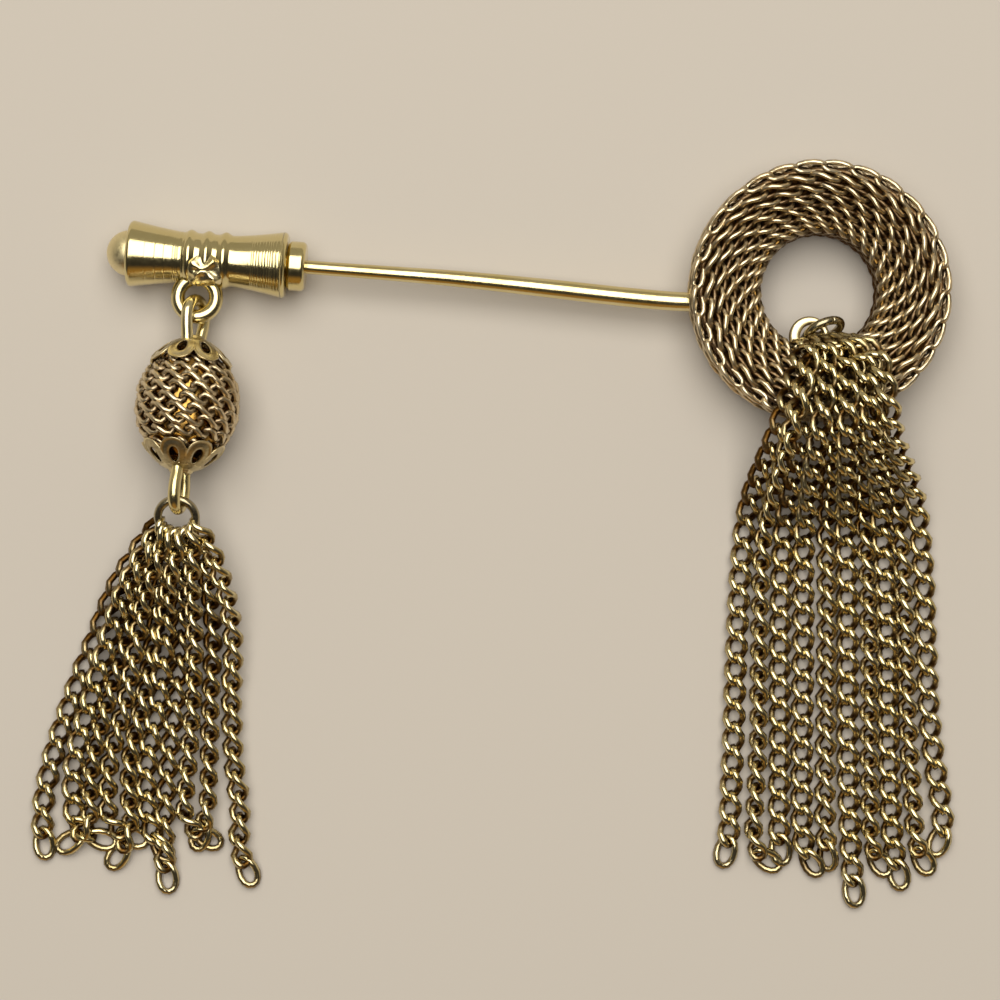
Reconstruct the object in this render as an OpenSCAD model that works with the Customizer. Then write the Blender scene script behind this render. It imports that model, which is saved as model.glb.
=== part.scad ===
// Stick pin with a mesh ring, a turned clutch and two chain tassels.
// It lies on its back: +X runs from the clutch to the ring, +Y is up the
// picture, +Z points away from the surface that it lies on. Millimetres.

/* [Ring] */
// Outside diameter of the mesh ring
ring_d = 22.24; // [21:0.02:23.5]
// Diameter of the bare metal hole
hole_d = 9.7; // [9:0.1:10]
// Height of the outer corner of the ring's section, before rounding
ring_h = 6.75; // [6.4:0.05:7.2]
// Height of the hole's front edge, before rounding
lip_h = 4.5; // [4.2:0.05:4.8]
// Thickness of the chain mesh
mesh_t = 0.9; // [0.7:0.05:1]

/* [Pin] */
// Diameter of the stem inside the clutch
tip_d = 1.1; // [1:0.02:1.2]
// Diameter of the stem where it meets the ring
root_d = 1.64; // [1.5:0.02:1.8]
// Height of the stem's middle above the surface
stem_z = 2.82; // [2.82:0.01:3]
// Slope of the clutch's axis, falling to the right
clutch_slope = 4.45; // [4:0.05:5]
// Length of the stem inside the clutch
tip_l = 11.7; // [9:0.1:11.7]

/* [Clutch] */
// Diameter of the barrel's two rims
rim_d = 5.6; // [5.4:0.02:5.6]
// Diameter of the barrel's waist
waist_d = 4.34; // [4.2:0.02:4.5]
// Length of the barrel
barrel_l = 13.5; // [13:0.1:14]
// Diameter of the ball in the barrel's end
ball_d = 3.9; // [3.6:0.1:4]
// Diameter of the collar
collar_d = 4.2; // [4:0.05:4.4]
// Length of the collar
collar_l = 1.6; // [1.4:0.05:1.8]
// Gap round the stem in the collar's bore
bore_gap = 0.02; // [0.01:0.01:0.05]

/* [Bead] */
// Largest diameter of the bead over its mesh
bead_d = 8.9; // [8.6:0.1:8.9]
// Length of the bead over its caps
bead_l = 11.4; // [11.2:0.1:11.6]
// Diameter of the wire through the bead
eye_wire_d = 0.94; // [0.8:0.02:1]
// Outside diameter of the wire's eyes
eye_d = 3.74; // [3.6:0.02:3.9]

/* [Chains] */
// Width of a strand where it hangs edge-on from its jump ring
strand_top_w = 1.12; // [1:0.02:1.14]
// Width of a long strand where it lies on the surface
long_low_w = 1.6; // [1.3:0.05:1.65]
// Width of a short strand where it lies on the surface
short_low_w = 1.28; // [1.2:0.02:1.3]
// Thickness of a strand
strand_t = 1.2; // [1:0.05:1.2]

/* [Hidden] */
$fn = 48;
gap = 0.05;

long_names = [for (i = [1 : 10]) str("long_strand_", i < 10 ? "0" : "", i)];
short_names = [for (i = [1 : 10]) str("short_strand_", i < 10 ? "0" : "", i)];

// Middle of the box round the whole object, in the layout's own measure
mid = [-0.395, -2.936];
// Middle of the mesh ring
ring_at = [27, 17.65];
// Face of the collar, where the stem enters the clutch
collar_at = [-16.49, 19.8, stem_z];
// Eyelet for the long tassel, on the wall of the ring's hole
eyelet_at = [26.05, 13.85, 3.45];
eyelet_h = 1;
eyelet_r = 1.8;
eyelet_hole_r = 1.1;
// Long tassel's jump ring
long_jump_at = [27.65, 14.35, 3.9];
long_jump_turn = [55, 0, 20];
jump_mid_r = 1.65;
jump_wire_d = 0.74;
// Loop soldered under the barrel
loop_at = [-25.72, 17.16, 3.45];
loop_mid_r = 1.76;
loop_wire_d = 1;
solder_at = [-25.74, 19.3, 3.45];
solder_r = 1.36;
// Bead, turned so that its own Z runs up its axis to the loop
bead_at = [-26.38, 8.03, 4.5];
bead_turn = [-98, 0, -4.5];
eye_turn = 20;
eye_reach = 7.65;
// Short tassel's jump ring
short_jump_at = [-27.2, -1.45, 5];
short_jump_tilt = 20;
short_jump_mid_r = 1.59;
short_jump_wire_d = 0.72;

// Outline of a corner polygon with each corner rounded by its own radius:
// rows of [r, z, radius]
function corner_arc(a, b, c, r, steps = 6) =
    let (u = unit(a - b), v = unit(c - b),
         half = acos(u * v) / 2,
         m = b + unit(u + v) * r / sin(half),
         from = b + u * r / tan(half) - m, to = b + v * r / tan(half) - m,
         a0 = atan2(from.y, from.x), a1 = atan2(to.y, to.x),
         turn = (a1 - a0 + 540) % 360 - 180)
    [for (i = [0 : steps]) m + r * [cos(a0 + turn * i / steps), sin(a0 + turn * i / steps)]];
function flat_point(row) = [row.x, row.y];
function rounded(rows) =
    let (n = len(rows))
    [for (i = [0 : n - 1])
        each rows[i].z > 0
            ? corner_arc(flat_point(rows[(i + n - 1) % n]), flat_point(rows[i]),
                         flat_point(rows[(i + 1) % n]), rows[i].z)
            : [flat_point(rows[i])]];
function unit(v) = v / norm(v);
function ease(u) = let (t = min(1, max(0, u))) t * t * (3 - 2 * t);

// Curve through stations at their own distances, smooth at each of them
function slope_at(xs, ys, i) =
    i == 0 ? (ys[1] - ys[0]) / (xs[1] - xs[0])
    : i == len(xs) - 1 ? (ys[i] - ys[i - 1]) / (xs[i] - xs[i - 1])
    : (ys[i + 1] - ys[i - 1]) / (xs[i + 1] - xs[i - 1]);
function between(xs, ys, i, t) =
    let (h = xs[i + 1] - xs[i])
    (2 * t ^ 3 - 3 * t ^ 2 + 1) * ys[i] + (t ^ 3 - 2 * t ^ 2 + t) * h * slope_at(xs, ys, i)
    + (3 * t ^ 2 - 2 * t ^ 3) * ys[i + 1] + (t ^ 3 - t ^ 2) * h * slope_at(xs, ys, i + 1);
function smooth_route(stations, xs, parts) =
    [for (i = [0 : len(stations) - 2]) for (j = [0 : parts - 1])
        [between(stations, xs, i, j / parts), stations[i] + (stations[i + 1] - stations[i]) * j / parts],
     [xs[len(xs) - 1], stations[len(stations) - 1]]];

// Tube along a route: each ring of points is square to the route, with its
// width level and its thickness upright
function along(route, i) = unit(route[min(i + 1, len(route) - 1)] - route[max(i - 1, 0)]);
function section(route, i, w, t, sides) =
    let (d = along(route, i), side = unit(cross(d, [0, 0, 1])), up = cross(side, d),
         c = cos(180 / sides))
    [for (k = [0 : sides - 1])
        let (a = 360 * (k + 0.5) / sides)
        route[i] + side * cos(a) * w / 2 / c + up * sin(a) * t / 2 / c];
module tube(route, widths, heights, sides = 8) {
    n = len(route);
    points = [for (i = [0 : n - 1]) each section(route, i, widths[i], heights[i], sides)];
    walls = [for (i = [0 : n - 2]) for (k = [0 : sides - 1])
        let (a = i * sides + k, b = i * sides + (k + 1) % sides)
        each [[a, b + sides, a + sides], [a, b, b + sides]]];
    ends = [for (k = [1 : sides - 2])
        each [[0, k + 1, k], [(n - 1) * sides, (n - 1) * sides + k, (n - 1) * sides + k + 1]]];
    polyhedron(points = points, faces = concat(walls, ends), convexity = 6);
}

module placed(at = [0, 0, 0]) translate([at.x - mid.x, at.y - mid.y, at.z]) children();
module wire_ring(mid_r, wire_d) rotate_extrude($fn = 64) translate([mid_r, 0]) circle(d = wire_d);

// Ring: the core's section has a bare collar round the hole, and the mesh
// wraps all the rest of it
ring_r = ring_d / 2;
hole_r = hole_d / 2;
lip_t = 0.45;
ring_outline = [[hole_r + 0.1, 0, 0.6], [ring_r, 0, 2.6], [ring_r, ring_h, 1],
                [hole_r + 0.1, lip_h, 0.5]];
face_slope = (ring_h - lip_h) / (ring_r - hole_r - 0.1);
core_in = hole_r + lip_t;
core_out = ring_r - mesh_t;
function core_top(r) = lip_h + face_slope * (r - hole_r - 0.1) - mesh_t;
module core_section(grow) {
    polygon(rounded([[core_in - 0.1, mesh_t - grow, 0], [core_out + grow, mesh_t - grow, 1.8],
                     [core_out + grow, core_top(core_out) + grow, 0.8],
                     [core_in - 0.1, core_top(core_in) + grow, 0]]));
    translate([hole_r - 2 * grow, 0.3 - grow]) square([lip_t + 3 * grow, lip_h - 0.6 + 2 * grow]);
}

// Stem: a straight point inside the clutch, then one tapered, slightly
// bowed wire that levels out just before the ring
stem_route = [[-16.2, 19.777], [-14, 19.606], [-8.5, 19.19], [-4.25, 18.85], [0.34, 18.39],
              [4.6, 17.93], [9.01, 17.43], [12.33, 17.09], [14.62, 16.9], [16.15, 16.83],
              [17.43, 16.8]];
stem_start_d = tip_d + 0.06;
function stem_d(x) = stem_start_d + (root_d - stem_start_d) * ease((x + 16) / 26);
module stem_wire(extra = 0) {
    d = [for (p = stem_route) stem_d(p.x) + extra];
    tube([for (p = stem_route) [p.x, p.y, stem_z]], d, d, 16);
}
point_l = 2.6;
// Clutch frame: Z runs from the collar's face out to the ball
module clutch_frame() placed(collar_at) rotate([0, 0, 180 - clutch_slope]) rotate([0, 90, 0]) children();

module pin_frame() color("goldenrod") {
    placed() stem_wire();
    clutch_frame() {
        translate([0, 0, -0.7]) cylinder(d = tip_d, h = tip_l - point_l + 0.7);
        translate([0, 0, tip_l - point_l]) cylinder(d1 = tip_d, d2 = 0.2, h = point_l);
    }
    placed([ring_at.x, ring_at.y, 0]) rotate_extrude($fn = 96) core_section(0);
    difference() {
        placed(eyelet_at) cylinder(r = eyelet_r, h = eyelet_h);
        placed(eyelet_at) translate([0, 0, -1]) cylinder(r = eyelet_hole_r, h = eyelet_h + 2);
    }
}

module ring_mesh() color("darkgoldenrod") difference() {
    placed([ring_at.x, ring_at.y, 0]) rotate_extrude($fn = 96) difference() {
        polygon(rounded(ring_outline));
        core_section(gap);
    }
    placed([17.4, 16.8, stem_z]) rotate([0, -90, 1.5]) cylinder(d = root_d + 0.3, h = 3.6);
    placed(eyelet_at) translate([0, 0, -gap]) cylinder(r = eyelet_r + gap, h = eyelet_h + 2 * gap);
}

module long_jump_ring() color("gold")
    placed(long_jump_at) rotate([0, 0, long_jump_turn.z]) rotate([long_jump_turn.x, 0, 0])
        wire_ring(jump_mid_r, jump_wire_d);

// Long tassel: where each strand lies across the picture at each station,
// and where it ends. Odd rows ride on the even ones until the strands have
// room to lie side by side.
long_stations = [12.4, 8.4, 5.1, 0, -5.1, -12, -20.5, -28.3];
long_strands = [
    [25.7, 23.8, 22.9, 21.4, 20.7, 20.2, 20.0, 19.6, 19.5, -31.9],
    [26.3, 24.7, 24.0, 23.0, 22.3, 22.0, 22.0, 21.7, 22.0, -31.9],
    [26.9, 25.6, 25.2, 24.5, 24.1, 23.8, 23.8, 23.8, 24.1, -31.7],
    [27.5, 26.6, 26.3, 26.0, 25.8, 25.7, 25.7, 25.8, 26.6, -32.4],
    [28.1, 27.5, 27.4, 27.5, 27.6, 27.6, 27.6, 27.8, 28.7, -32.1],
    [28.7, 28.4, 28.6, 29.2, 29.4, 29.5, 29.5, 29.9, 30.9, -34.5],
    [29.4, 29.4, 29.7, 30.7, 31.1, 31.3, 31.4, 31.7, 32.3, -32.6],
    [30.0, 30.4, 30.8, 32.2, 32.8, 33.0, 33.2, 33.6, 34.4, -33.7],
    [30.6, 31.3, 31.9, 33.8, 34.5, 34.8, 35.1, 35.7, 36.5, -32.4],
    [31.2, 32.3, 33.1, 35.4, 36.2, 36.5, 37.0, 37.8, 38.4, -30.4]];
ridge_r = ring_r - 1;
ridge_z = 6.32;
fall_l = 11.5;
clear = 0.2;
// Height of a chain's underside over the ring and down from its ridge
function ring_rest(p) =
    let (r = norm([p.x, p.y] - ring_at))
    r < ridge_r ? min(ridge_z, lip_h + face_slope * (r - hole_r)) + clear
    : (ridge_z + clear) * 0.5 * (1 + cos(180 * min(1, (r - ridge_r) / fall_l)));
function long_lift(y) = (strand_t + 0.1) * ease((y + 5.5) / 7);
function long_route(i) =
    let (row = long_strands[i],
         plan = smooth_route(concat(long_stations, row[9]), [for (k = [0 : 8]) row[k]], 2))
    [for (p = plan) [p.x, p.y, strand_t / 2 + ring_rest(p) + (i % 2) * long_lift(p.y)]];
module long_strand(i) color("darkgoldenrod") placed() {
    route = long_route(i);
    widths = [for (p = route) strand_top_w + (long_low_w - strand_top_w) * ease((3 - p.y) / 14)];
    tube(route, widths, [for (p = route) strand_t]);
}

// Barrel's outline: two flared rims, a plain waist and three raised ridges
bore_r = 1.5;
bore_end = 12.4;
ridge_at = [6.9, 8.36, 9.85];
ridge_half = 0.65;
ridge_up = 0.22;
flare_end = [6.2, 10.4];
rim_round = 0.38;
barrel_end = collar_l + barrel_l;
function flare(u) = (rim_d - waist_d) / 2 * max(0, u) ^ 1.3;
function bump(u) = abs(u) < 1 ? (1 + cos(180 * u)) / 2 : 0;
function barrel_r(s) = waist_d / 2
    + flare((flare_end[0] - s) / (flare_end[0] - collar_l - rim_round))
    + flare((s - flare_end[1]) / (barrel_end - rim_round - flare_end[1]))
    + ridge_up * max([for (c = ridge_at) bump((s - c) / ridge_half)]);
barrel_steps = 58;
barrel_from = collar_l + rim_round;
barrel_to = barrel_end - rim_round;
barrel_side = [for (i = [0 : barrel_steps])
    let (s = barrel_from + (barrel_to - barrel_from) * i / barrel_steps) [barrel_r(s), s]];
rim_arc = [for (a = [0 : 15 : 75]) [rim_d / 2 - rim_round + rim_round * cos(a), rim_round * sin(a)]];
barrel_outline = concat(
    [[0, collar_l], [rim_d / 2 - rim_round, collar_l]],
    [for (i = [5 : -1 : 1]) [rim_arc[i].x, barrel_from - rim_arc[i].y]],
    barrel_side,
    [for (i = [1 : 5]) [rim_arc[i].x, barrel_to + rim_arc[i].y]],
    [[rim_d / 2 - rim_round, barrel_end], [0, barrel_end]]);
ball_s = 15;

module clutch_barrel() color("gold") {
    difference() {
        union() {
            clutch_frame() rotate_extrude() polygon(barrel_outline);
            placed(solder_at) sphere(r = solder_r);
            placed(loop_at) wire_ring(loop_mid_r, loop_wire_d);
        }
        clutch_frame() translate([0, 0, collar_l - 1]) cylinder(r = bore_r, h = bore_end - collar_l + 1);
        clutch_frame() translate([0, 0, ball_s]) sphere(r = ball_d / 2 + gap / 2);
    }
}

module clutch_ball() color("gold") clutch_frame() translate([0, 0, ball_s]) sphere(d = ball_d);

collar_outline = rounded([[0, 0, 0], [collar_d / 2, 0, 0.4], [collar_d / 2, collar_l - 0.3, 0.12],
                          [collar_d / 2 - 0.3, collar_l - gap / 2, 0], [bore_r - gap, collar_l - gap / 2, 0],
                          [bore_r - gap, bore_end - 0.1, 0], [0, bore_end - 0.1, 0]]);
module clutch_collar() color("gold") clutch_frame() difference() {
    rotate_extrude() polygon(collar_outline);
    translate([0, 0, -1]) cylinder(d = tip_d + 2 * bore_gap, h = tip_l + 1.2);
}

// Bead: each layer's outline follows one rounded formula, r = R (1 - (a / A)^p)^0.5
module bead_frame() placed(bead_at) rotate([0, 0, bead_turn.z]) rotate([bead_turn.x, 0, 0]) children();
function bead_r(a, big_r, half_l, p) = big_r * sqrt(max(0, 1 - (abs(a) / half_l) ^ p));
function bead_side(from, to, big_r, half_l, p, steps) =
    [for (i = [0 : steps]) let (a = from + (to - from) * i / steps) [bead_r(a, big_r, half_l, p), a]];
core_r = 3.45;
core_half = 5.2;
mesh_half = 3.4;
cap_from = 3.5;
cap_t = 0.3;
cap_r = 4;
half = bead_l / 2;
scallops = 8;
scallop_r = 0.75;
pierced_r = 0.42;
wire_hole_r = eye_wire_d / 2 + gap;

module bead_core() color("gold") bead_frame() difference() {
    rotate_extrude() polygon(concat(
        [[0, -core_half]], bead_side(-core_half + 0.1, core_half - 0.1, core_r, core_half, 2.2, 24),
        [[0, core_half]]));
    translate([0, 0, -half]) cylinder(r = wire_hole_r, h = bead_l);
}

module bead_mesh() color("darkgoldenrod") bead_frame() rotate_extrude() polygon(concat(
    bead_side(-mesh_half, mesh_half, bead_d / 2, 4.49, 2.5, 18),
    bead_side(mesh_half, -mesh_half, core_r + 0.1, core_half, 2.2, 12)));

// One pierced cap, its pole up
module bead_cap() difference() {
    rotate_extrude() polygon(concat(
        bead_side(cap_from, half - 0.1, cap_r, half, 2.5, 14),
        [[wire_hole_r, half - 0.06], [wire_hole_r, half - cap_t]],
        bead_side(half - cap_t - 0.1, cap_from, cap_r - cap_t, half - cap_t, 2.5, 12)));
    for (i = [0 : scallops - 1]) rotate([0, 0, 360 * (i + 0.5) / scallops]) {
        translate([0, 0, cap_from - 0.1]) rotate([0, 90, 0]) cylinder(r = scallop_r, h = 5);
        rotate([0, 0, 180 / scallops]) translate([0, 0, cap_from + 1.15]) rotate([0, 90, 0])
            cylinder(r = pierced_r, h = 5);
    }
}
module bead_cap_top() color("gold") bead_frame() bead_cap();
module bead_cap_bottom() color("gold") bead_frame() rotate([180, 0, 0]) bead_cap();

module bead_wire() color("gold") bead_frame() {
    translate([0, 0, -eye_reach + eye_d / 2 - eye_wire_d / 2])
        cylinder(d = eye_wire_d, h = 2 * eye_reach - eye_d + eye_wire_d);
    for (s = [-1, 1]) translate([0, 0, s * eye_reach])
        rotate([0, 0, -eye_turn]) rotate([0, 90, 0]) wire_ring((eye_d - eye_wire_d) / 2, eye_wire_d);
}

module short_jump_ring() color("silver")
    placed(short_jump_at) rotate([short_jump_tilt, 0, 0]) wire_ring(short_jump_mid_r, short_jump_wire_d);

// Short tassel: laid out like the long one, falling from its jump ring
short_stations = [-3.9, -7.7, -12, -17.1, -22.3, -26.6];
short_strands = [
    [-30.4, -32.8, -34.7, -36.7, -38.4, -39.3, -39.2, -31.2],
    [-29.7, -31.9, -33.5, -35.1, -36.5, -36.7, -36.5, -30.7],
    [-29.1, -30.9, -32.2, -33.6, -34.9, -35.1, -35.0, -30.7],
    [-28.5, -30.0, -31.0, -32.0, -33.4, -33.6, -33.6, -30.6],
    [-27.9, -29.0, -29.7, -30.6, -31.8, -31.8, -32.2, -31.9],
    [-27.2, -28.1, -28.6, -29.2, -30.2, -30.2, -30.7, -31.7],
    [-26.6, -27.2, -27.4, -27.8, -28.4, -28.6, -28.6, -33.9],
    [-25.9, -26.1, -26.1, -26.3, -26.7, -27.0, -26.9, -30.6],
    [-25.3, -24.8, -24.6, -24.8, -24.9, -25.0, -25.1, -30.3],
    [-24.7, -23.6, -22.9, -23.0, -22.8, -22.3, -22.5, -33.2]];
short_top_z = 2.7;
short_fall_l = 8.5;
function short_rest(y) = short_top_z * 0.5 * (1 + cos(180 * min(1, (short_stations[0] - y) / short_fall_l)));
function short_lift(y) = (strand_t + 0.05) * ease((y + 17.5) / 5);
function short_route(i) =
    let (row = short_strands[i],
         plan = smooth_route(concat(short_stations, row[7]), [for (k = [0 : 6]) row[k]], 2))
    [for (p = plan) [p.x, p.y, strand_t / 2 + short_rest(p.y) + (i % 2) * short_lift(p.y)]];
module short_strand(i) color("darkgoldenrod") placed() {
    route = short_route(i);
    widths = [for (p = route) strand_top_w + (short_low_w - strand_top_w) * ease((-13 - p.y) / 8)];
    tube(route, widths, [for (p = route) strand_t]);
}

pin_frame();
ring_mesh();
long_jump_ring();
for (i = [0 : 9]) long_strand(i);
clutch_barrel();
clutch_ball();
clutch_collar();
bead_wire();
bead_core();
bead_mesh();
bead_cap_top();
bead_cap_bottom();
short_jump_ring();
for (i = [0 : 9]) short_strand(i);
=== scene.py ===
import bpy
import numpy as np
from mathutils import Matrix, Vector


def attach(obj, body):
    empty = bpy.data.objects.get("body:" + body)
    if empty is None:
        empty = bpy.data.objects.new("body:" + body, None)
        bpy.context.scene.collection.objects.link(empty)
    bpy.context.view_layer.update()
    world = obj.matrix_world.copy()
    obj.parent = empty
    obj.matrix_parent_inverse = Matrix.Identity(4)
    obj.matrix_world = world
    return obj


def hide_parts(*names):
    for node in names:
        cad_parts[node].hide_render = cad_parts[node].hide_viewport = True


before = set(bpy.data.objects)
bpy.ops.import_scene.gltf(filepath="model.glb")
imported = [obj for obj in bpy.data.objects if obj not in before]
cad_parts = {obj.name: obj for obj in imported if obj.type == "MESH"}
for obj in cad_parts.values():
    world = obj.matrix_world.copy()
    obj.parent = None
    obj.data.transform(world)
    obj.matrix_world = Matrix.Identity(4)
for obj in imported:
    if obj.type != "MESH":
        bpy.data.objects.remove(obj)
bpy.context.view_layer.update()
print("frame loaded,", len(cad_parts), "parts")

mm = 0.001
layoutShift = np.array([0.395, 2.936, 0.0])  # the drawing's own origin, seen from the part's, mm
rng = np.random.default_rng(41)
scene = bpy.context.scene

# Small helpers


def addNode(tree, kind, inputs=None, **settings):
    # adds one node with its settings and gives its outputs; an input is a value or another's output
    node = tree.nodes.new("ShaderNode" + kind)
    for key, value in settings.items():
        setattr(node, key, value)
    for key, value in (inputs or {}).items():
        if isinstance(value, bpy.types.NodeSocket):
            tree.links.new(value, node.inputs[key])
        else:
            node.inputs[key].default_value = value
    return node.outputs


def mapped(tree, value, start, end, low=0.0, high=1.0, kind="LINEAR"):
    # what goes from start to end made to go from low to high, and held there
    ends = {"From Min": start, "From Max": end, "To Min": low, "To Max": high}
    return addNode(tree, "MapRange", {"Value": value, **ends}, interpolation_type=kind)[0]


def mixed(tree, share, first, second):
    # the first colour at share 0 and the second one at 1
    return addNode(tree, "Mix", {0: share, 6: first, 7: second}, data_type="RGBA")[2]


def linear(hexColour):
    # sRGB hex to linear light: c / 12.92 below 0.04045, else ((c + 0.055) / 1.055) ^ 2.4
    c = np.array([int(hexColour[i:i + 2], 16) / 255 for i in (1, 3, 5)])
    return (*np.where(c <= 0.04045, c / 12.92, ((c + 0.055) / 1.055) ** 2.4), 1.0)


def unit(v):
    # each vector over its own length
    return v / np.linalg.norm(v, axis=-1, keepdims=True)


def ease(u):
    # 3 t^2 - 2 t^3 of u held between 0 and 1
    t = np.clip(u, 0, 1)
    return t * t * (3 - 2 * t)


def fallOff(u):
    # from 1 at 0 to 0 at 1 and past it, as half a cosine wave
    return 0.5 * (1 + np.cos(np.pi * np.clip(u, 0, 1)))


def squared(v, power):
    # |v|^p with the sign of v, which draws a circle's cosine and sine towards a square's
    return np.sign(v) * np.abs(v) ** power


def around(count, start=0):
    # angles evenly round a circle, the first one so many steps on
    return (np.arange(count) + start) * 2 * np.pi / count


def tipped(look):
    # the matrix that turns rows of points by "tip" degrees about X and then by "turn" about Z
    tip, turn = np.radians(look["tip"]), np.radians(look["turn"])
    tipX = np.array([[1, 0, 0], [0, np.cos(tip), -np.sin(tip)], [0, np.sin(tip), np.cos(tip)]])
    turnZ = np.array([[np.cos(turn), -np.sin(turn), 0], [np.sin(turn), np.cos(turn), 0], [0, 0, 1]])
    return (turnZ @ tipX).T


def gridFaces(rows, cols, loop):
    # one four-sided face for each cell of a grid whose columns go round, and whose rows do in a loop
    r = np.arange(rows if loop else rows - 1)[:, None]
    c = np.arange(cols)[None, :]
    r2, c2 = (r + 1) % rows, (c + 1) % cols
    return np.stack([r * cols + c, r * cols + c2, r2 * cols + c2, r2 * cols + c], -1).reshape(-1, 4)


def repeated(faces, size, count):
    # the same faces on each of so many blocks of points
    return (faces[None] + (np.arange(count) * size)[:, None, None]).reshape(-1, 4)


noFans = np.zeros((0, 3), int)


def skin(grid, loop=False, flip=False):
    # points, faces and fans of a grid whose columns go round: in a loop its rows go round too, and
    # else each end row closes on its own middle; "flip" is for a grid that would face inwards
    rows, cols = grid.shape[:2]
    points, faces, fans = grid.reshape(-1, 3), gridFaces(rows, cols, loop), noFans
    if not loop:
        c, last = np.arange(cols), (rows - 1) * cols
        c2 = (c + 1) % cols
        fans = np.concatenate([np.stack([np.full(cols, rows * cols), c2, c], -1),
                               np.stack([np.full(cols, rows * cols + 1), last + c, last + c2], -1)])
        points = np.concatenate([points, [grid[0].mean(0), grid[-1].mean(0)]])
    return (points, faces[:, ::-1], fans[:, ::-1]) if flip else (points, faces, fans)


def wireRound(line, first, second, radius, angles):
    # a circle carried along a line: line + r (first cos a + second sin a), both square to the line
    return line[..., None, :] + radius * (first[..., None, :] * np.cos(angles)[:, None]
                                          + second[..., None, :] * np.sin(angles)[:, None])


def lathe(profile, middle, axis, sides):
    # profile rows of distance along the axis and radius, carried round it
    axis = unit(np.array(axis, float))
    side = unit(np.cross([0, 0, 1.0], axis)) if abs(axis[2]) < 0.9 else np.array([1.0, 0, 0])
    line = np.array(middle) + profile[:, :1] * axis
    return wireRound(line, side, np.cross(axis, side), profile[:, 1, None, None], around(sides))


def hermite(stations, values, steps):
    # smooth curve through values at stations, its slope at each being that of its two neighbours:
    # (2t^3 - 3t^2 + 1) v0 + (t^3 - 2t^2 + t) h s0 + (3t^2 - 2t^3) v1 + (t^3 - t^2) h s1
    k = np.arange(len(stations))
    before, after = np.maximum(k - 1, 0), np.minimum(k + 1, k[-1])
    slopes = (values[after] - values[before]) / (stations[after] - stations[before])
    i, t = np.repeat(k[:-1], steps), np.tile(np.arange(steps) / steps, k[-1])
    h = stations[i + 1] - stations[i]
    y = ((2 * t**3 - 3 * t**2 + 1) * values[i] + (t**3 - 2 * t**2 + t) * h * slopes[i]
         + (3 * t**2 - 2 * t**3) * values[i + 1] + (t**3 - t**2) * h * slopes[i + 1])
    return np.append(y, values[-1]), np.append(stations[i] + h * t, stations[-1])


def evenly(path, start, tip, reach, pitch=None, count=None):
    # points along a path from "start" mm to "tip" mm before its end, so many or about a pitch
    # apart, and the path's direction at each, which is that from "reach" mm behind it to ahead
    length = np.concatenate([[0], np.cumsum(np.linalg.norm(np.diff(path, axis=0), axis=1))])
    end = length[-1] - tip
    s = np.linspace(start, end, count or int(round((end - start) / pitch)) + 1)
    behind, at, ahead = (np.stack([np.interp(s + d, length, column) for column in path.T], 1)
                         for d in (-reach, 0, reach))
    return at, unit(ahead - behind)


def addObject(name, data):
    made = bpy.data.objects.new(name, data)
    scene.collection.objects.link(made)
    return made


def addPiece(name, shape, body, material, replaced, wearAndShade=None, facets=None):
    # points in mm, four-sided faces and fans of triangles go into one mesh; "wearAndShade" becomes its
    # attribute, which holds wear and, on the chains, painted shade, and the faces that "facets" marks are
    # shaded flat
    points, faces, fans = shape
    points = (points.reshape(-1, 3) + layoutShift) * mm
    loops = np.concatenate([faces.ravel(), fans.ravel()]).astype(np.int32)
    sizes = np.concatenate([np.full(len(faces), 4), np.full(len(fans), 3)])
    mesh = bpy.data.meshes.new(name)
    mesh.vertices.add(len(points))
    mesh.vertices.foreach_set("co", points.astype(np.float32).ravel())
    mesh.loops.add(len(loops))
    mesh.loops.foreach_set("vertex_index", loops)
    mesh.polygons.add(len(sizes))
    mesh.polygons.foreach_set("loop_start", (np.cumsum(sizes) - sizes).astype(np.int32))
    mesh.polygons.foreach_set("use_smooth", np.ones(len(sizes), bool) if facets is None else ~facets)
    if wearAndShade is not None:
        values = np.asarray(wearAndShade, np.float32).ravel()
        mesh.attributes.new("wearAndShade", "FLOAT", "POINT").data.foreach_set("value", values)
    mesh.update()
    mesh.validate()
    mesh.materials.append(material)
    piece = addObject(name, mesh)
    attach(piece, body)
    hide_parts(*replaced)


# Camera, table and light

cameraLook = {
    "middle": (0.395, 2.936),  # point that the camera looks down on, mm
    "height": 230.0,  # mm above the table
    "fieldWidth": 85.0,  # mm across the picture at fieldHeight
    "fieldHeight": 2.75,
    "sensor": 36.0,
}
tableLook = {"size": 6.0, "colour": "#cdc5b9", "rough": 0.9}
lightLook = {
    # soft box over the far side of the table: middle and size in metres
    "middle": (-0.01, 0.16, 0.545), "size": (0.56, 0.6), "watts": 3.9, "colour": (1.0, 0.97, 0.92),
    "roomLow": (0.36, 0.33, 0.27, 1),  # the room near the table's level, and ahead of whoever looks
    "roomHigh": (0.035, 0.032, 0.03, 1),  # the dark ceiling and whoever looks
    "lowShare": 0.75, "aheadShare": 0.55, "fade": (0.12, 0.85),
    "roomBehind": (0.34, 0.19, 0.05, 1), "behind": (-0.95, -0.72),  # warm wood low behind them
}


def addCamera(look):
    # lens = sensor times distance over the width that it has to take in
    data = bpy.data.cameras.new("camera")
    data.sensor_width = look["sensor"]
    data.lens = look["sensor"] * (look["height"] - look["fieldHeight"]) / look["fieldWidth"]
    data.clip_start, data.clip_end = 0.01, 10
    camera = addObject("camera", data)
    camera.location = np.array([*look["middle"], look["height"]]) * mm
    scene.camera = camera


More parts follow.
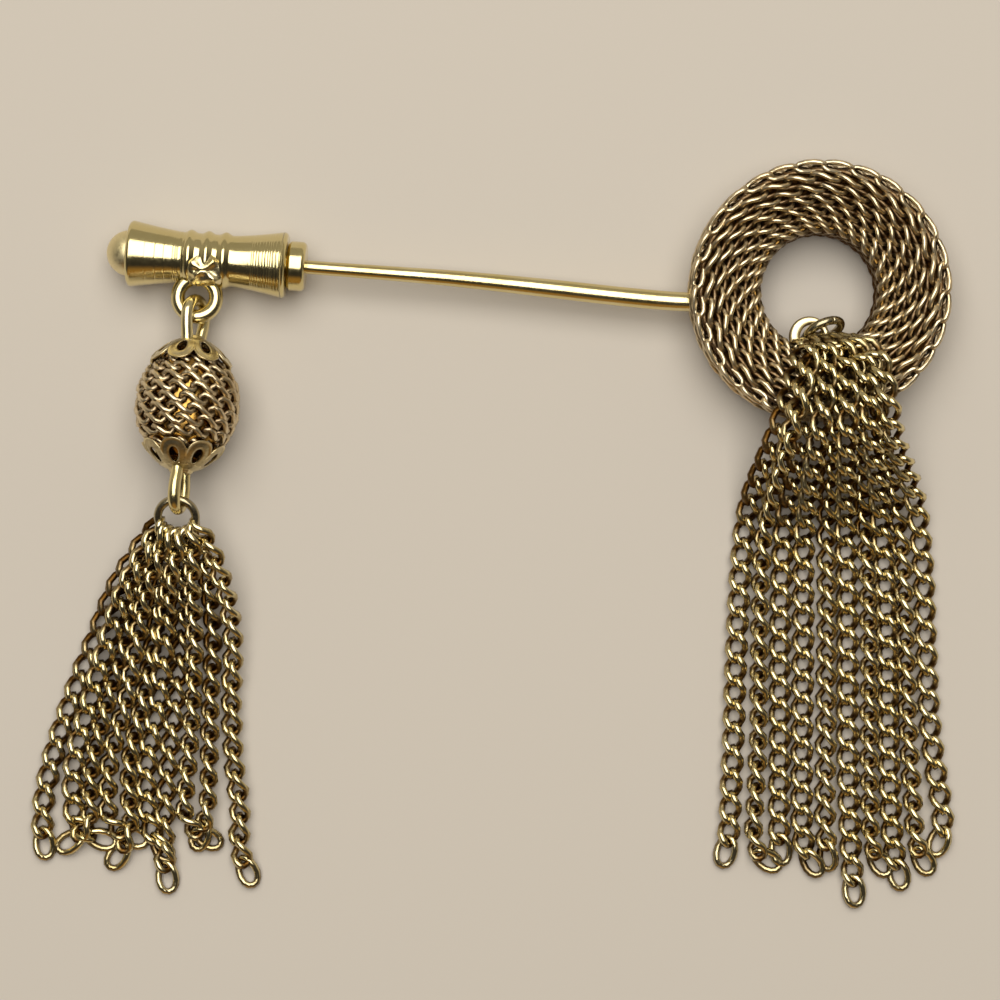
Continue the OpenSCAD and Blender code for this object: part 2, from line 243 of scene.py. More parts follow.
def addTable(look):
    # one square of matte paper at height 0
    mesh = bpy.data.meshes.new("table")
    edge = look["size"] / 2
    mesh.from_pydata([(-edge, -edge, 0), (edge, -edge, 0), (edge, edge, 0), (-edge, edge, 0)], [],
                     [(0, 1, 2, 3)])
    paper = bpy.data.materials.new("matteTablePaper")
    paper.use_nodes = True
    shader = paper.node_tree.nodes["Principled BSDF"]
    shader.inputs["Base Color"].default_value = linear(look["colour"])
    shader.inputs["Roughness"].default_value = look["rough"]
    mesh.materials.append(paper)
    addObject("table", mesh)


def addLights(look):
    # A soft box that faces the middle of the pin, and a dim room. With z up and y ahead, the room
    # goes from roomHigh to roomLow as lowShare (1 - z) + aheadShare y grows, and to roomBehind as
    # y falls.
    data = bpy.data.lights.new("key", "AREA")
    data.shape, (data.size, data.size_y) = "RECTANGLE", look["size"]
    data.energy, data.color = look["watts"], look["colour"]
    lamp = addObject("key", data)
    lamp.location = look["middle"]
    lamp.rotation_euler = (-Vector(look["middle"])).to_track_quat("-Z", "Y").to_euler()
    lamp.visible_camera = False
    world = bpy.data.worlds.new("room")
    world.use_nodes = True
    tree = world.node_tree
    tree.nodes.clear()
    place = addNode(tree, "TexCoord")["Generated"]
    way = addNode(tree, "SeparateXYZ", {"Vector": place})
    low = addNode(tree, "Math", {0: way["Z"], 1: -look["lowShare"], 2: look["lowShare"]},
                  operation="MULTIPLY_ADD")[0]
    both = addNode(tree, "Math", {0: way["Y"], 1: look["aheadShare"], 2: low}, operation="MULTIPLY_ADD")[0]
    fade = mapped(tree, both, *look["fade"], kind="SMOOTHSTEP")
    behind = mapped(tree, way["Y"], *look["behind"], 1.0, 0.0, "SMOOTHSTEP")
    ahead = mixed(tree, fade, look["roomHigh"], look["roomLow"])
    whole = mixed(tree, behind, ahead, look["roomBehind"])
    light = addNode(tree, "Background", {"Color": whole, "Strength": 1.0})[0]
    addNode(tree, "OutputWorld", {"Surface": light})
    scene.world = world


# Materials. Each colour is the metal's own reflection, and patina, with painted shade on the chains, darkens
# it and dulls its gloss


def metal(name, darker, paler, roughness, sizes, bump, lines=None, patinaAndShade=None):
    # Plated metal: its colour and gloss vary with slow wear and fine marks, and a brown patina sits
    # where the "wearAndShade" attribute says that nothing has rubbed it; on the chains the same brown is also
    # painted shade under the strands above.
    material = bpy.data.materials.new(name)
    material.use_nodes = True
    tree = material.node_tree
    tree.nodes.clear()
    spot = addNode(tree, "TexCoord")["Object"]
    slow, fine = (addNode(tree, "TexNoise", {"Vector": spot, "Scale": 1 / (size * mm), "Detail": detail})[0]
                  for size, detail in zip(sizes, (3.0, 2.0)))
    colour = mixed(tree, mapped(tree, slow, 0.3, 0.7), linear(darker), linear(paler))
    if patinaAndShade:
        brown, start, end, broken, dull = patinaAndShade
        wearAndShade = addNode(tree, "Attribute", attribute_name="wearAndShade")["Fac"]
        edge = addNode(tree, "Math", {0: fine, 1: broken, 2: -broken / 2}, operation="MULTIPLY_ADD")[0]
        level = addNode(tree, "Math", {0: wearAndShade, 1: edge}, operation="ADD")[0]
        share = mapped(tree, level, start, end, kind="SMOOTHSTEP")
        colour = mixed(tree, share, linear(brown), colour)
        gloss = mapped(tree, share, 0.0, 1.0, dull, roughness)
    else:
        gloss = mapped(tree, fine, 0.3, 0.7, roughness * 0.8, roughness * 1.25)
    height = fine
    if lines:  # marks that a tool leaves square to the axis: noise that changes along it only
        apart, turn = lines
        turned = addNode(tree, "Mapping", {"Vector": spot, "Rotation": (0, 0, np.radians(turn)),
                                           "Scale": (apart * mm, 1e3, 1e3)}, vector_type="TEXTURE")[0]
        height = addNode(tree, "TexNoise", {"Vector": turned, "Scale": 1.0, "Detail": 3.0,
                                            "Roughness": 0.7})[0]
    strength, deep = bump
    normal = addNode(tree, "Bump", {"Height": height, "Strength": strength, "Distance": deep * mm})[0]
    shader = addNode(tree, "BsdfPrincipled", {"Base Color": colour, "Roughness": gloss, "Normal": normal,
                                              "Metallic": 1.0})[0]
    addNode(tree, "OutputMaterial", {"Surface": shader})
    return material


# In each: the plating's two colours, its roughness, the mm of its patches and of its fine marks, the
# strength and mm of the bump, the lathe's lines (mm apart, degrees turned), and the patina, which on
# the chains also paints shade (colour, rub from and to which it goes, how broken its edge is, roughness).

# Polished gold-tone plate on turned brass: a near-mirror with the fine rings that the lathe leaves
barrelMetal = metal("turnedGoldPlatedBrass", "#d8c88e", "#dfd09c", 0.16, (6, 0.3), (0.5, 0.03),
                    lines=(0.55, -4.45))
# The same plate on drawn wire: smoother, with faint handling marks
wireMetal = metal("drawnGoldPlatedWire", "#dac88c", "#e3d5a4", 0.2, (4, 0.25), (0.15, 0.01))
# Antiqued gold plate on soft brass chain: bright where it rubs, brown in the hollows, and browner the deeper
# a link lies under the strands above, which is painted shade
chainMetal = metal("antiquedCurbChainWithPaintedShade", "#dac68b", "#e6d8ab", 0.18, (5, 0.2), (0.12, 0.01),
                   patinaAndShade=("#5f4119", 0.2, 0.85, 0.25, 0.4))
# The finer chain of the mesh, warmer and darker in its recesses
meshMetal = metal("antiquedGoldPlatedMeshChain", "#dcc59a", "#e8d8b6", 0.3, (5, 0.2), (0.12, 0.01),
                  patinaAndShade=("#5c3f1c", 0.48, 0.95, 0.2, 0.44))
# Brown patina over the pressed brass core, seen in the hole's wall and between the rows
coreMetal = metal("patinatedPressedBrass", "#7a5a2a", "#967238", 0.38, (3, 0.4), (0.3, 0.02),
                  patinaAndShade=("#4a3013", 0.3, 0.7, 0.2, 0.6))
# Polished brass ball inside the bead, darker than the plating because the mesh shades and stains it
ballCoreMetal = metal("polishedBrassCore", "#a8803c", "#bc9450", 0.2, (3, 0.4), (0.15, 0.01))
# Thin stamped sheet of the bead's caps and the eyelet, brown where the stamping lies below its rims
sheetMetal = metal("stampedGoldPlatedBrass", "#d8c694", "#e4d7b0", 0.3, (4, 0.25), (0.25, 0.015),
                   patinaAndShade=("#5e4820", 0.2, 0.85, 0.3, 0.4))
# Solder that pooled before the plating: the same gold over soft lumps, so its glints are broken
solderMetal = metal("platedSolderPool", "#e0cc8e", "#eadcae", 0.24, (2, 0.8), (0.4, 0.2))
# The cast ball, its gold tumbled to a softer gloss than the turned barrel's, and painted paler than the
# barrel's as painted light that makes up for the dark ceiling it reflects
ballMetal = metal("tumbledGoldPlatedBrass", "#e6d6a2", "#efe2b8", 0.42, (4, 0.25), (0.15, 0.01))
# Darker, greyer gold on the jump rings: painted shade standing in for the dark reflections along their wire
jumpMetal = metal("jumpRingWireWithPaintedShade", "#9c8f70", "#b5a98a", 0.22, (2, 0.2), (0.15, 0.01))
print("materials made")

# Chain links


def linkLoops(look, roll, twist, half=None, deep=None):
    # One wire loop for each link, in its own frame of forward, sideways and up: an oval
    # cos t, sin^p t whose plane turns as the sine of the distance forward, one way at the front and
    # the other at the back, carried round by the wire's circle, pressed down to "flat" as a rolling
    # mill does, and rolled about the chain. With "deep" the links stand on their edges, that far up
    # and down. The result is links by steps round the loop by steps round the wire.
    n = look["steps"]
    t = around(n, n / 4 + 0.5)  # a straight stretch at the middle of each side
    half = np.full(len(roll), (look["pitch"] + look["wire"]) / 2) if half is None else half
    across = squared(np.sin(t), look["square"])
    turn = np.radians(twist)[:, None] * np.sin(np.pi / 2 * np.cos(t))
    level, rise = look["wide"] * across * np.cos(turn), look["wide"] * across * np.sin(turn)
    if deep is not None:
        level, rise = rise, deep[:, None] * across * np.cos(turn)
    line = np.stack([half[:, None] * np.cos(t), level, rise], -1)
    ahead = unit(np.roll(line, -1, 1) - np.roll(line, 1, 1))
    out = unit(line - (line * ahead).sum(-1, keepdims=True) * ahead)
    loops = wireRound(line, np.cross(out, ahead), out, look["wire"] / 2, around(look["sides"], 0.5))
    if "flat" in look:
        high, soft = np.abs(loops[..., 2]), look["flatSoft"]
        pressed = look["flat"] - soft * np.logaddexp(0, (look["flat"] - high) / soft)
        loops[..., 2] = np.sign(loops[..., 2]) * np.maximum(pressed, 0)
    c, s = np.cos(roll)[:, None, None], np.sin(roll)[:, None, None]
    w, u = loops[..., 1].copy(), loops[..., 2].copy()
    loops[..., 1], loops[..., 2] = w * c - u * s, w * s + u * c
    return loops


def setLinks(loops, middles, forward, upward):
    # middle + x forward + y side + z up for each link, with its side square to forward and upward
    side = unit(np.cross(upward, forward))
    axes = np.stack([forward, side, np.cross(forward, side)], 1)
    return middles[:, None, None] + np.einsum("mnsi,mij->mnsj", loops, axes)


def linkSkin(points, look):
    # the shape of links, each a closed loop of wire
    faces = gridFaces(look["steps"], look["sides"], True)
    return points, repeated(faces, look["steps"] * look["sides"], len(points)), noFans


def linkRows(look, link, row, out, phase, deep, twist, longest):
    # Links on their edges in rows round an axis. At an angle a, clockwise from the row's own phase,
    # the middle is r cos a, r sin a and height, forward is sin a, -cos a, 0, and upward is the row's
    # outward direction. A link is as long as its part of the row, and with the points comes the
    # share of the way up a link that each of them lies.
    n, jitter, turning = look["links"], look["jitter"], look["rollJitter"]
    a = -around(n, phase[:, None])
    a = a + rng.uniform(-jitter, jitter, a.shape)
    c, s, z = np.cos(a), np.sin(a), 0 * a
    axes = ((row[:, :1] * c, row[:, :1] * s, row[:, 1:] + z), (s, -c, z),
            (out[:, :1] * c, out[:, :1] * s, out[:, 1:] + z))
    middles, forward, upward = (np.stack(axis, -1).reshape(-1, 3) for axis in axes)
    half = np.clip((2 * np.pi * row[:, 0] / n + link["wire"]) / 2, look["shortest"], longest)
    half, deep, twist = (np.repeat(column, n) for column in (half, deep, twist))
    loops = linkLoops(link, np.radians(rng.uniform(-turning, turning, len(half))), twist, half, deep)
    top = (deep + link["wire"] / 2)[:, None, None]
    return setLinks(loops, middles, forward, upward), (loops[..., 2] + top) / (2 * top)


chainLook = {
    "wire": 0.61, "wide": 0.78, "square": 0.88, "pitch": 1.95, "twist": -62, "steps": 14, "sides": 5,
    "flat": 0.7, "flatSoft": 0.04,  # height to which a link is pressed, and how gently that starts
    "facetShare": 0.82,  # a face whose corners all stand this near to the pressed height is a flat facet
    "rollJitter": 5.0,  # degrees either way, link by link
    "endTwist": -18,
    # the path's start from the middle of the jump ring's wire, and how many wires before it the
    # first link lies
    "hook": 0.2, "back": 0.4,
    "climbShare": 0.4,  # share of the way to the first station in which it climbs to where it lies
    "hinge": 0.45, "hingeNext": 0.5,  # shares of the pitch from a link's middle to where it swings
    "overTable": 0.02, "tipShare": 0.85,  # lowest point, and where the last link's tip starts
    # the height over a link's middle for a full rub, the rub of its outer sides and of the last
    # link, which drags on everything; then the painted shade under the strands above: the share of
    # the rub at the tassel's top, what each mm below takes off, and the least
    "rub": (0.95, 0.62, 1.15), "paintedShadeUnderStrands": (1.1, 0.42, 0.2),
}

ringAt, ringHalf, ridgeAt = np.array([27.0, 17.65]), 11.12, 10.12
longLook = {
    "stations": [12.4, 8.4, 5.1, 0, -5.1, -12, -20.5, -28.3],
    "rows": [  # where each strand lies across at each station, then where it ends
        [25.4, 24.0, 23.0, 21.4, 20.7, 20.3, 20.0, 19.7, 19.9, -31.9],
        [26.1, 24.9, 24.1, 23.0, 22.4, 22.2, 22.1, 21.7, 21.4, -33.0],
        [26.8, 25.9, 25.3, 24.6, 24.2, 24.0, 24.0, 23.9, 23.9, -31.7],
        [27.5, 27.0, 26.5, 26.2, 26.0, 26.0, 25.9, 25.9, 26.0, -32.9],
        [28.3, 28.0, 27.7, 27.9, 28.0, 28.0, 27.9, 27.9, 28.6, -32.1],
        [29.1, 29.0, 28.9, 29.4, 29.7, 29.8, 29.8, 30.0, 30.4, -35.25],
        [29.9, 29.9, 30.0, 30.9, 31.4, 31.6, 31.6, 31.7, 31.8, -33.0],
        [30.4, 30.7, 31.0, 32.3, 32.9, 33.2, 33.3, 33.6, 34.2, -33.8],
        [31.0, 31.5, 32.0, 33.7, 34.4, 34.7, 35.0, 35.5, 35.8, -32.8],
        [31.5, 32.2, 33.0, 35.4, 36.2, 36.5, 37.0, 38.3, 39.1, -30.9]],
    "rollTop": [20, 8, 70, -8, 70, 8, 75, 10, 70, -12],  # degrees, at the jump ring
    "rollLow": [8, 72, 8, -6, 52, 6, 72, 6, 66, -8],  # degrees, where it lies flat
    "rollEase": 14.0,  # mm over which the first turns into the second
    "endTurn": [-16, 62, 8, 32, -6, 4, 34, 8, 26, -38],  # degrees that the last link turns, seen from above
    "endRoll": [10, 15, 5, 30, 40, 5, 20, 15, 20, 20],
    "endBend": 0.3,  # share of its turn that the link before it has
    # what the strands lie on: the face's radius, height and slope at its inner edge, the ridge's
    # height, and the air under the chain; the length of the fall from there, mm; and how much
    # higher every other strand lies, from where and over how many mm
    "face": (4.85, 4.5, (6.75 - 4.5) / (ringHalf - 4.95), 6.32, 0.2), "fallOver": 11.5,
    "lifts": [(1.1, -5.5, 7)],
}
shortLook = {
    "stations": [-3.9, -7.7, -12, -17.1, -22.3, -26.6],
    "rows": [
        [-30.4, -32.8, -34.7, -36.7, -38.4, -39.2, -39.2, -31.2],
        [-29.7, -31.8, -33.4, -35.0, -36.4, -36.5, -35.9, -32.0],
        [-29.1, -30.9, -32.2, -33.6, -34.9, -35.1, -34.8, -31.7],
        [-28.5, -30.0, -31.0, -32.0, -33.4, -33.6, -33.4, -31.7],
        [-27.9, -29.0, -29.7, -30.6, -31.7, -31.7, -31.3, -32.4],
        [-27.2, -28.1, -28.6, -29.2, -30.2, -30.2, -30.0, -31.7],
        [-26.6, -27.2, -27.4, -27.8, -28.4, -28.7, -28.9, -34.1],
        [-25.9, -26.1, -26.1, -26.3, -26.7, -27.0, -27.1, -31.5],
        [-25.3, -24.8, -24.6, -24.8, -24.9, -25.0, -24.7, -30.5],
        [-24.5, -23.3, -22.8, -23.0, -22.8, -22.3, -22.7, -33.6]],
    "rollTop": [20, 35, 65, 50, 65, 60, 70, 55, 65, 50],
    "rollLow": [8, -8, 55, 48, 62, 12, 30, 58, 60, 42],
    "rollEase": 12.0,
    "endTurn": [4, 66, -62, 66, -40, 30, 8, 62, -24, 26],
    "endRoll": [5, 15, 20, 10, 15, 30, 5, 20, 20, 10],
    "endBend": 0.62,
    "fallHigh": 2.7, "fallOver": 8.5, "lifts": [(0.65, -17.5, 5), (0.45, -27, 3)],
}
strandHalf = 0.6  # half the thickness of a strand
longJump = {"middle": [27.38, 14.32, 3.9], "tip": 66, "turn": 22, "radius": 1.54, "wire": 0.74,
            "fan": (207, 292), "spread": 0.5, "drop": 0.75, "bulge": 0.1, "cut": 60,
            "slot": "polished_gold_tone"}
shortJump = {"middle": [-27.2, -1.45, 5.0], "tip": 20, "turn": 0, "radius": 1.59, "wire": 0.72,
             "fan": (200, 340), "spread": 0.0, "drop": 0.0, "bulge": 0.0, "cut": 200,
             "slot": "pale_jump_ring"}


def jumpPoints(look, degrees):
    # points on a circle that is tipped about X and then turned about Z: r cos a, r sin a, 0
    a = np.radians(degrees)
    flat = np.stack([look["radius"] * np.cos(a), look["radius"] * np.sin(a), np.zeros_like(a)], -1)
    return flat @ tipped(look) + look["middle"]


def lift(look, y):
    # the sum of each step's height, eased in over its length
    return sum(high * ease((y - start) / over) for high, start, over in look["lifts"])


def longRest(x, y, odd):
    # height of a strand's middle: over the ring's face, off its ridge in a half cosine, and every
    # other strand a wire higher until they have room side by side
    edge, edgeHigh, slope, ridgeHigh, clear = longLook["face"]
    r = np.hypot(x - ringAt[0], y - ringAt[1])
    face = np.minimum(ridgeHigh, edgeHigh + slope * (r - edge)) + clear
    fall = (ridgeHigh + clear) * fallOff((r - ridgeAt) / longLook["fallOver"])
    return strandHalf + np.where(r < ridgeAt, face, fall) + odd * lift(longLook, y)


def shortRest(x, y, odd):
    # the same down from the jump ring
    fall = shortLook["fallHigh"] * fallOff((shortLook["stations"][0] - y) / shortLook["fallOver"])
    return strandHalf + fall + odd * lift(shortLook, y)


def smoothed(path, rounds=6):
    # each point moves halfway to the middle of its neighbours, some rounds over, ends held
    path = path.copy()
    for _ in range(rounds):
        path[1:-1] = path[1:-1] / 2 + (path[:-2] + path[2:]) / 4
    return path


def strandPath(look, i, hanger, bulge, rest, link):
    # From its jump ring a strand runs straight to its first station, bulging aside as sin(pi share)
    # and climbing to where it lies, and then along its row of the table.
    stations, row = look["stations"] + look["rows"][i][-1:], look["rows"][i][:-1]
    x, y = hermite(np.array(stations, float), np.array(row, float), 10)
    lying = np.stack([x, y, rest(x, y, i % 2)], 1)
    start = hanger + link["hook"] * unit(lying[0] - hanger)
    share = np.linspace(0, 1, 6)[:-1, None]
    lead = start + (lying[0] - start) * share
    lead[:, 1:2] += bulge * (lying[0, 0] - start[0]) * np.sin(np.pi * share)
    climb = ease(share[:, 0] / link["climbShare"])
    lead[:, 2] += climb * (rest(lead[:, 0], lead[:, 1], i % 2) - lead[:, 2])
    path = np.concatenate([lead, lying])
    bend = len(lead) + 4  # the points round the bend where it starts to lie
    path[:bend] = smoothed(path[:bend + 4])[:bend]
    return path


def swingEnd(look, i, middles, forward, link):
    # the last two links turn, seen from above, about the points where they hang from their neighbours
    hinge = middles[-2] - forward[-2] * link["pitch"] * link["hinge"]
    for k, share in ((-2, look["endBend"]), (-1, 1)):
        yaw = np.radians(look["endTurn"][i] * share)
        c, s = np.cos(yaw), np.sin(yaw)
        forward[k, :2] = forward[k, :2] @ [[c, s], [-s, c]]
        middles[k] = hinge + forward[k] * link["pitch"] * link["hinge"]
        hinge = middles[k] + forward[k] * link["pitch"] * link["hingeNext"]


def layOnTable(points, forth, link):
    # a link that would sink into the table rises, with half as much for its neighbours, and the last
    # one leans as its share of the way to its tip, so that the tip lies on the table
    low, last = link["overTable"], points[-1, ..., 2]
    sunk = np.maximum(low - points[..., 2].min((1, 2)), 0)
    eased = np.convolve(np.pad(sunk, 1, "edge"), [0.25, 0.5, 0.25], "valid")
    points[..., 2] += np.maximum(sunk, eased)[:, None, None]
    lean = (forth - forth.min()) / np.ptp(forth)
    last -= lean * (last[lean > link["tipShare"]].min() - low)
    last += max(low - last.min(), 0)


def addTassel(label, look, jump, rest, body, link):
    # Ten strands fanned out along one jump ring. Roll eases from rollTop to rollLow on the way down.
    # Rub = the largest of a link's pressed height, its height over its middle and its outer sides,
    # and wearAndShade = rub (share at the top - fall times the depth), the depth under the strands above
    # painting shade on the lower links.
    place = np.linspace(-1, 1, len(look["rows"]))
    hangers = jumpPoints(jump, np.linspace(*jump["fan"], len(place)))
    hangers[:, 0] += jump["spread"] * place
    hangers[:, 1] -= jump["drop"] * np.maximum(place, 0)
    pitch, wire = link["pitch"], link["wire"]
    for i, hanger in enumerate(hangers):
        path = strandPath(look, i, hanger, jump["bulge"], rest, link)
        middles, forward = evenly(path, pitch / 2 - wire * link["back"], pitch / 2 + wire,
                                  link["hinge"] * pitch, pitch)
        count = len(middles)
        top = 1 - ease(np.arange(count) * pitch / look["rollEase"])
        roll = look["rollLow"][i] + (look["rollTop"][i] - look["rollLow"][i]) * top
        roll = np.radians(roll + rng.uniform(-link["rollJitter"], link["rollJitter"], count))
        roll[-1] = np.radians(look["endRoll"][i])
        twist = np.full(count, float(link["twist"]))
        twist[-1] = link["endTwist"]
        swingEnd(look, i, middles, forward, link)
        loops, unrolled = linkLoops(link, roll, twist), linkLoops(link, 0 * roll, twist)
        points = setLinks(loops, middles, forward, np.array([0, 0, 1.0]))
        layOnTable(points, loops[-1, ..., 0], link)
        x, y, z = np.moveaxis(points, -1, 0)
        high = z - z.mean((1, 2))[:, None, None]
        # painted shade: depth is how far each point lies under the top of the upper layer of strands
        depth = rest(x, y, 1) - rest(x, y, i % 2) + link["flat"] - high
        pressed, aside = np.abs(unrolled[..., 2]) / link["flat"], np.abs(unrolled[..., 1])
        fullHigh, side, last = link["rub"]
        rub = np.maximum(pressed, high / fullHigh)
        rub = np.maximum(rub, side * aside / (link["wide"] + wire / 2))
        rub[-1] = last * (1 + high[-1] / high[-1].max()) / 2
        shadeShareAtTop, fall, shadeShareDeepest = link["paintedShadeUnderStrands"]
        # painted shade: the rub is cut by a share that falls with that depth, so lower links go browner
        wearAndShade = rub * np.clip(shadeShareAtTop - fall * depth, shadeShareDeepest, 1)
        shape = linkSkin(points, link)
        facets = (pressed.ravel()[shape[1]] > link["facetShare"]).all(1)
        addPiece(f"{label}_chain_{i + 1:02d}", shape, body, chainMetal, [f"{label}_strand_{i + 1:02d}"],
                 wearAndShade, facets)


def addJumpRing(name, look, body):
    # wire round a circle, with the fine cut where it was opened and closed
    line = jumpPoints(look, look["cut"] + np.linspace(1.5, 358.5, 72))
    out = unit(line - look["middle"])
    ahead = unit(np.gradient(line, axis=0))
    grid = wireRound(line, np.cross(out, ahead), out, look["wire"] / 2, around(14))
    addPiece(name, skin(grid), body, jumpMetal, [name + "_ring"], None)


# Stem

clutchTurn = np.radians(4.45)
clutchAxis = np.array([-np.cos(clutchTurn), np.sin(clutchTurn), 0.0])  # from the collar out to the ball
collarAt = np.array([-16.49, 19.8, 2.82])
stemLook = {
    # the bowed wire's places across and up, then the straight tip inside the clutch: distance from
    # the collar's face and width, from the point back
    "route": [(-16.2, 19.777), (-14, 19.606), (-8.5, 19.19), (-4.25, 18.85), (0.34, 18.39), (4.6, 17.93),
              (9.01, 17.43), (12.33, 17.09), (14.62, 16.9), (16.15, 16.83), (17.43, 16.8)],
    "tip": [(11.7, 0.16), (11.55, 0.26), (10.5, 0.66), (9.1, 1.1), (6, 1.1), (3, 1.1), (0.05, 1.1)],
    "height": 2.82, "wide": (1.16, 1.64, -16, 26),  # at the collar and the ring, from where, over
}


def addStem(look):
    # point, straight tip inside the clutch, then the bowed wire, whose width is eased along x
    route, tip = np.array(look["route"], float), np.array(look["tip"])
    y, x = hermite(route[:, 0], route[:, 1], 8)
    wire = np.stack([x, y, np.full(len(x), look["height"])], 1)
    thin, thick, start, over = look["wide"]
    wide = thin + (thick - thin) * ease((x - start) / over)
    path = np.concatenate([collarAt + tip[:, :1] * clutchAxis, wire])
    radii = np.concatenate([tip[:, 1], wide])[:, None, None] / 2
    forward = unit(np.gradient(path, axis=0))
    side = unit(np.cross(forward, [0, 0, 1.0]))
    grid = wireRound(path, np.cross(side, forward), -side, radii, around(28))
    addPiece("stem", skin(grid), "pin", wireMetal, ["pin_frame"])


# Mesh ring

ringLook = {
    "corners": [(4.95, 0, 0.6), (11.12, 0, 2.6), (11.12, 6.75, 1.0), (4.95, 4.5, 0.5)],  # r, z, rounding
    "links": 28,
    # each row of links: radius and height of its middle, the way it faces in degrees out from
    # upwards, how far its links reach up and down, how they twist in degrees, and how much is
    # rubbed bright: the hole's wall, face, rim, back and, last, under the face
    "rows": [
        (5.30, 1.7, -90, 0.24, -30, 0.5), (5.30, 2.5, -90, 0.24, -30, 0.6), (5.30, 3.3, -90, 0.24, -30, 0.7),
        (5.62, 3.98, -42, 0.6, -40, 0.9), (6.10, 4.07, -22, 0.6, -38, 1), (6.94, 4.34, -20, 0.6, -36, 1),
        (7.80, 4.66, -20, 0.6, -34, 1), (8.66, 4.98, -18, 0.6, -30, 1), (9.50, 5.24, -8, 0.6, -28, 1),
        (10.38, 5.44, 78, 0.42, -20, 1), (10.14, 4.42, 88, 0.58, -28, 1), (10.26, 3.50, 90, 0.6, -28, 1),
        (10.26, 2.60, 92, 0.6, -28, 1), (10.14, 1.84, 112, 0.6, -28, 1), (9.72, 1.22, 136, 0.6, -28, 1),
        (9.10, 0.94, 160, 0.6, -28, 1), (8.25, 0.86, 178, 0.6, -30, 1), (7.35, 0.86, 180, 0.6, -34, 1),
        (6.50, 0.86, 180, 0.6, -36, 1), (5.80, 0.88, 182, 0.6, -38, 1), (6.52, 3.92, -20, 0.5, -8, 0.62),
        (7.37, 4.22, -20, 0.5, -8, 0.62), (8.23, 4.54, -18, 0.5, -8, 0.62), (9.08, 4.82, -12, 0.5, -8, 0.62),
        (9.92, 4.92, 15, 0.45, -8, 0.62)],
    # the row whose links lie open to the top, half the length of its links' wire line, and the height
    # from which it is rubbed and over which the rub grows
    "rim": (9, 1.26, 4.9, 0.7),
    "phase": (0.1, 0.58),  # shares of a link that every other row is shifted by
    "jitter": 0.012, "rollJitter": 7,  # radians, degrees
    "shortest": 0.9, "longest": 1.35,  # half of a link's wire line, mm
    "coreDeep": 1.15, "holeEdge": (4.95, 3.9),
    # the hole's bare wall, from its back edge to its front one: radius and height
    "wall": [(5.45, 0.45), (5.2, 0.34), (5.12, 0.5), (5.1, 0.8), (5.1, 2.2), (5.1, 3.4), (5.14, 3.7),
             (5.25, 3.9), (5.4, 3.95)],
}
meshLink = {"wire": 0.47, "wide": 0.86, "square": 0.82, "steps": 12, "sides": 5}


def roundedOutline(corners, steps):
    # closed polygon whose corners are arcs of their own radius: each arc's middle lies on the line
    # that halves the corner, r / sin of half the corner away from it
    c = np.array(corners, float)
    b, r = c[:, :2], c[:, 2:]
    u, v = (unit(np.roll(b, way, 0) - b) for way in (1, -1))
    half = np.arccos((u * v).sum(1, keepdims=True)) / 2
    middle = b + unit(u + v) * r / np.sin(half)
    start, end = (b + side * r / np.tan(half) - middle for side in (u, v))
    a0, a1 = (np.arctan2(way[:, 1:], way[:, :1]) for way in (start, end))
    turn = (a1 - a0 + 3 * np.pi) % (2 * np.pi) - np.pi
    angles = a0 + turn * np.linspace(0, 1, steps)
    return (middle[:, None] + r[:, None] * np.stack([np.cos(angles), np.sin(angles)], -1)).reshape(-1, 2)


def addRingMesh(look, link):
    # Rows of links round the ring, each at its own radius, height and tilt. Worn = share of the way
    # up a link times the row's own, and on the rim (z - from) / over.
    row, n = np.array(look["rows"], float), look["links"]
    step, lean = np.arange(len(row)), np.radians(row[:, 2])
    rimRow, rimHalf, rimFrom, rimOver = look["rim"]
    phase = np.where(step % 2 == 0, *look["phase"]) + 0.06 * np.sin(step * 1.7)  # and a slow drift
    longest = np.where(step == rimRow, rimHalf, look["longest"])
    out = np.stack([np.sin(lean), np.cos(lean)], 1)
    points, up = linkRows(look, link, row[:, :2], out, phase, row[:, 3], row[:, 4], longest)
    wearAndShade, rim = up * np.repeat(row[:, 5], n)[:, None, None], slice(rimRow * n, (rimRow + 1) * n)
    wearAndShade[rim] = (points[rim, ..., 2] - rimFrom) / rimOver
    addPiece("ring_mesh_chain", linkSkin(points + [*ringAt, 0], link), "pin", meshMetal, ["ring_mesh"],
             wearAndShade)


def addRingCore(look):
    # The dark brass between the rows of links: the section's outline from the hole's front edge
    # round to its back edge, moved in by coreDeep, and the hole's bare wall, round the ring's axis.
    outline = roundedOutline(look["corners"], 14)[::-1]
    outline = np.roll(outline, -np.argmin(np.abs(outline - look["holeEdge"]).sum(1)), 0)
    at, ahead = evenly(np.concatenate([outline, outline[:1]]), start=0.05, tip=3.0, reach=0.3, count=60)
    at = at - look["coreDeep"] * np.stack([-ahead[:, 1], ahead[:, 0]], 1)
    profile = np.concatenate([look["wall"], at])[:, ::-1]  # height, radius
    grid = lathe(profile, [*ringAt, 0], [0, 0, 1], sides=112)
    wearAndShade = np.repeat(np.arange(len(profile)) < len(look["wall"]), grid.shape[1])
    addPiece("ring_core", skin(grid, True, True), "pin", coreMetal, ["pin_frame"], wearAndShade)


eyeletLook = {
    "middle": [26.13, 13.82, 3.95], "outer": 1.71, "inner": 0.96, "thick": 0.84, "square": 0.62,
    "holeAside": 0.2,  # the hole is off the middle, so the strap is wider on its left
}


